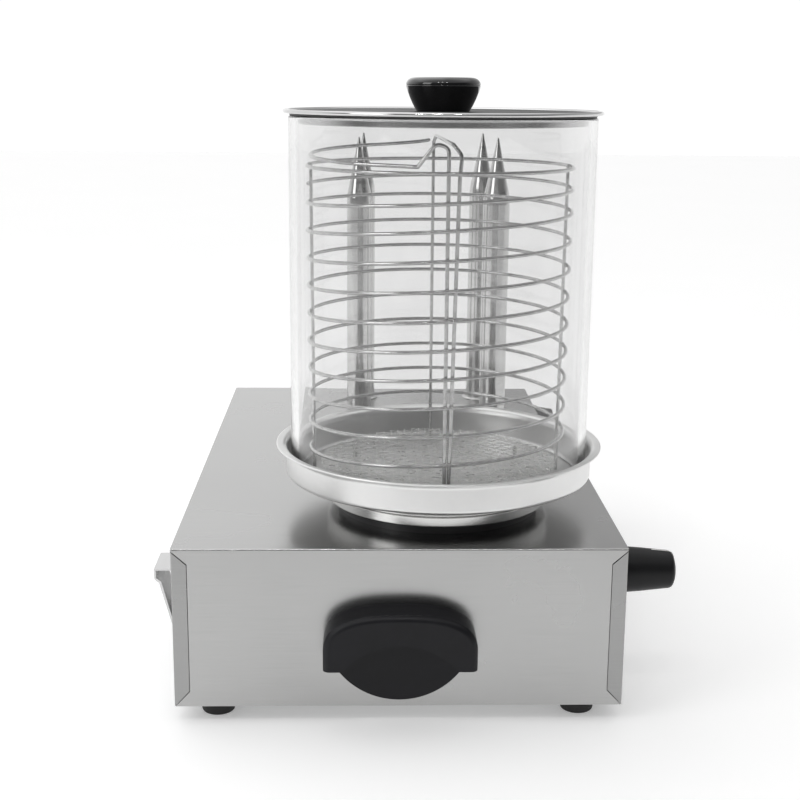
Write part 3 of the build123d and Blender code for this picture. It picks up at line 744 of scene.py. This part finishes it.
def ribbon(path, width, at, lift):
    """Narrow raised strip along (radius, reach) points on top of a knob turned about X."""
    verts, faces = [], []
    for r, h in path:
        on_end = r < GRIP_END_R
        for side in (-width / 2, width / 2):
            for up in (0.0, lift):
                out, rise = (up, 0.0) if on_end else (up * 0.3, up)
                verts.append((at[0] + h + out, at[1] + side, at[2] + r + rise))
    for i in range(len(path) - 1):
        a, b = 4 * i, 4 * i + 4
        faces += [(a, b, b + 1, a + 1), (a + 2, a + 3, b + 3, b + 2), (a + 1, b + 1, b + 3, a + 3),
                  (a, a + 2, b + 2, b)]
    end = 4 * (len(path) - 1)
    return verts, faces + [(0, 1, 3, 2), (end, end + 2, end + 3, end + 1)]


def along_y(x, d, z):
    """Prism placement with its depth along Y."""
    return (x, d, z)


for tag in ("steam", "spikes"):
    c = mid(f"dial_plate_{tag}")
    at = (PANEL_X, c.y, c.z)
    body = f"knob_{tag}"
    low, high = low_high(f"dial_knob_{tag}")
    foot, reach = (low.x, c.y, c.z), high.x - low.x
    grip = [(3.2, 0), (15.6, 0), (15.6, 1.2), (14.9, 2.0), (14.2, 12.0), (13.2, 22.0), (12.3, reach - 4.3),
            (11.5, reach - 2.6), (9.0, reach - 1.3), (5.5, reach - 0.4), (0, reach), (0, 15.2), (3.2, 15.2)]
    lathe(f"dial_grip_{tag}", soft(grip, 1.2, 4), foot, body, "dial_knob_black", [f"dial_knob_{tag}"], 120,
          "X")
    mark = [(13.35, 20.0), (12.95, 25.0), (12.3, reach - 4.6), (11.75, reach - 3.0), (11.2, reach - 2.3),
            (9.0, reach - 1.35), (7.0, reach - 0.75)]
    piece(f"dial_mark_{tag}", *ribbon(mark, 1.3, foot, 0.22), body, "dial_knob_black", finish=print_white)
    disc = [(4.9, 0), (20.5, 0), (20.5, 0.5), (20.2, 0.8), (4.9, 0.8)]
    lathe(f"dial_disc_{tag}", soft(disc, 0.2, 2), at, "base", "dial_black", [f"dial_plate_{tag}"], 160, "X")
    ticks = []
    for k in range(28):
        a = radians(90 - 10 * k)
        long = k % 3 == 0
        r0, r1, w = (16.9 if long else 17.7), 19.2, (0.32 if long else 0.2)
        way, across = Vector((0, cos(a), sin(a))), Vector((0, -sin(a), cos(a)))
        corners = [Vector(at) + way * r + across * s * w + Vector((h, 0, 0))
                   for h in (0.75, 0.88) for r in (r0, r1) for s in (-1, 1)]
        ticks.append(([tuple(v) for v in corners],
                      [(0, 1, 3, 2), (4, 6, 7, 5), (0, 4, 5, 1), (2, 3, 7, 6), (0, 2, 6, 4), (1, 5, 7, 3)]))
    piece(f"dial_ticks_{tag}", *merged(ticks), "base", "dial_black", finish=print_white, weighted=False)

    low, high = low_high(f"rocker_frame_{tag}")
    cy, cz = (low.y + high.y) / 2, (low.z + high.z) / 2
    bezel = prism([(PANEL_X, cz - 16), (PANEL_X + 2.0, cz - 16), (PANEL_X + 2.0, cz + 16),
                   (PANEL_X, cz + 16)], cy - 12, cy + 12, along_y)
    ease(bezel, 0.9, 3, lambda a, b: a.x > PANEL_X + 1.9 and b.x > PANEL_X + 1.9)
    stem = prism([(low.x, cz - 13.9), (PANEL_X + 0.5, cz - 13.9), (PANEL_X + 0.5, cz + 13.9),
                  (low.x, cz + 13.9)], cy - 9.9, cy + 9.9, along_y)
    combine(bezel, stem, "UNION")
    hole = prism([(PANEL_X - 12, cz - 12.6), (PANEL_X + 3, cz - 12.6), (PANEL_X + 3, cz + 12.6),
                  (PANEL_X - 12, cz + 12.6)], cy - 8.4, cy + 8.4, along_y)
    combine(bezel, hole, "DIFFERENCE")
    bezel.name = f"rocker_bezel_{tag}"
    dress(bezel, "base", "switch_black", [f"rocker_frame_{tag}"])
    low, high = low_high(f"rocker_{tag}")
    key = [(-5.0, -9.0), (4.2, -10.4), (3.2, -4.0), (2.3, 0), (1.2, 5.0), (0.6, 10.4), (-5.0, 8.6), (-7.5, 0)]
    rocker = prism(soft([(PANEL_X + x, cz + z) for x, z in key], 1.0, 4), low.y, high.y, along_y)
    ease(rocker, 0.5, 2, lambda a, b: abs(a.y - b.y) < 0.01 and a.x > PANEL_X and b.x > PANEL_X)
    rocker.name = f"rocker_key_{tag}"
    dress(rocker, f"switch_{tag}", "switch_red", [f"rocker_{tag}"])

    c, low = mid(f"pilot_lamp_{tag}"), low_high(f"pilot_lamp_{tag}")[0]
    back_end = low.x - PANEL_X
    lamp = [(0, back_end), (5.0, back_end), (5.0, 0), (6.6, 0), (6.6, 1.0), (6.3, 1.2), (5.0, 1.2),
            (4.8, 1.4), (4.5, 2.6), (3.2, 3.8), (1.6, 4.3), (0, 4.4)]
    lathe(f"pilot_lens_{tag}", soft(lamp, 0.3, 3, closed=False), (PANEL_X, c.y, c.z), "base", "lamp_lens",
          [f"pilot_lamp_{tag}"], 48, "X")

# ------------------------------------------------------------------ floor
HALF = 7.0                  # half the floor's side, m
GLOW_FROM, GLOW_TO = -1.0, -0.36        # the floor's own glow rises over this stretch of Y, m
paper = bpy.data.meshes.new("studio_floor")
paper.from_pydata([(-HALF, -HALF, 0), (HALF, -HALF, 0), (HALF, HALF, 0), (-HALF, HALF, 0)], [],
                  [(0, 1, 2, 3)])
floor = bpy.data.objects.new("studio_floor", paper)
scene.collection.objects.link(floor)
ground = Finish("studio_paper", (0.84, 0.84, 0.84), 0.0, 0.75, Emission_Strength=0.29)
nearer = ground.node("ShaderNodeSeparateXYZ")
ground.link(ground.place((1, 1, 1)), nearer.inputs[0])
glow = ground.node("ShaderNodeMapRange", interpolation_type="SMOOTHSTEP")
for key, value in (("From Min", GLOW_FROM), ("From Max", GLOW_TO), ("To Min", 0.0), ("To Max", 1.0)):
    glow.inputs[key].default_value = value
ground.link(nearer.outputs["Y"], glow.inputs["Value"])
ground.link(glow.outputs[0], ground.s.inputs["Emission Color"])
ground.tone(ground.noise(ground.place((3, 3, 3)), 1.0, 2.0), 0.99, 1.01)
ground.gloss(ground.noise(ground.place((40, 40, 40))), 0.03)
floor.data.materials.append(ground.m)

# ------------------------------------------------------------------ world and lights
# White room: brightest behind the object and overhead, dim in front, with a greyer right half.
world = bpy.data.worlds.new("studio")
scene.world = world
world.use_nodes = True
wt = world.node_tree
wt.nodes.clear()


def world_node(kind, **props):
    """New node in the world's tree."""
    made = wt.nodes.new(kind)
    for key, value in props.items():
        setattr(made, key, value)
    return made


def world_ramp(source, a, b, low, high):
    """Smooth step of a value from one level to another."""
    r = world_node("ShaderNodeMapRange", interpolation_type="SMOOTHSTEP")
    for key, value in (("From Min", a), ("From Max", b), ("To Min", low), ("To Max", high)):
        r.inputs[key].default_value = value
    wt.links.new(source, r.inputs["Value"])
    return r.outputs["Result"]


def world_product(a, b):
    """Product of two values."""
    m = world_node("ShaderNodeMath", operation="MULTIPLY")
    wt.links.new(a, m.inputs[0])
    wt.links.new(b, m.inputs[1])
    return m.outputs[0]


way = world_node("ShaderNodeSeparateXYZ")
wt.links.new(world_node("ShaderNodeTexCoord").outputs["Generated"], way.inputs[0])
back = world_ramp(way.outputs["Y"], -0.4, 0.4, 0.2, 1.03)
right = world_ramp(way.outputs["X"], -0.06, 0.14, 0.0, 1.0)
raised = world_ramp(way.outputs["Z"], 0.08, 0.2, 0.0, 1.0)
dim = world_ramp(world_product(right, raised), 0.0, 1.0, 1.0, 0.5)
zenith = world_ramp(way.outputs["Z"], 0.55, 0.8, 0.0, 0.6)
total = world_node("ShaderNodeMath", operation="ADD")
wt.links.new(world_product(back, dim), total.inputs[0])
wt.links.new(zenith, total.inputs[1])
sky = world_node("ShaderNodeBackground")
sky.inputs["Color"].default_value = (1, 1, 1, 1)
wt.links.new(total.outputs[0], sky.inputs["Strength"])
wt.links.new(sky.outputs[0], world_node("ShaderNodeOutputWorld").inputs[0])


def softbox(name, place, aim, width, height, watts):
    """Flat rectangular light at a place, turned to face a point."""
    lamp = bpy.data.lights.new(name, "AREA")
    lamp.shape, lamp.size, lamp.size_y, lamp.energy = "RECTANGLE", width, height, watts
    ob = bpy.data.objects.new(name, lamp)
    ob.location = place
    ob.rotation_euler = (Vector(aim) - Vector(place)).to_track_quat("-Z", "Y").to_euler()
    scene.collection.objects.link(ob)


softbox("left_box", (-1.5, -1.1, 1.1), (0, -0.1, 0.2), 0.9, 1.2, 9)
LAMP_R, LAMP_WATTS = 0.06, 6
for n, (x, y, z) in enumerate(((-0.5, -1.4, 1.9), (-0.15, -1.4, 2.0), (0.25, -1.4, 2.0)), 1):
    spot = bpy.data.lights.new(f"ceiling_lamp_{n}", "POINT")
    spot.shadow_soft_size, spot.energy = LAMP_R, LAMP_WATTS
    bulb = bpy.data.objects.new(f"ceiling_lamp_{n}", spot)
    bulb.location = (x, y, z)
    scene.collection.objects.link(bulb)

# ------------------------------------------------------------------ camera
camera = bpy.data.cameras.new("camera")
camera.sensor_width, camera.lens = 36.0, 61.38
camera.clip_start, camera.clip_end = 0.05, 60
eye = bpy.data.objects.new("camera", camera)
EYE, YAW, PITCH, ROLL = (-0.03579, -1.03274, 0.39855), 0.0289, 0.2283, -0.0084
turn = Matrix.Rotation(-YAW, 4, "Z") @ Matrix.Rotation(pi / 2 - PITCH, 4, "X")
turn = turn @ Matrix.Rotation(-ROLL, 4, "Z")
eye.matrix_world = Matrix.Translation(EYE) @ turn
scene.collection.objects.link(eye)
scene.camera = eye
scene.view_settings.view_transform = "Standard"
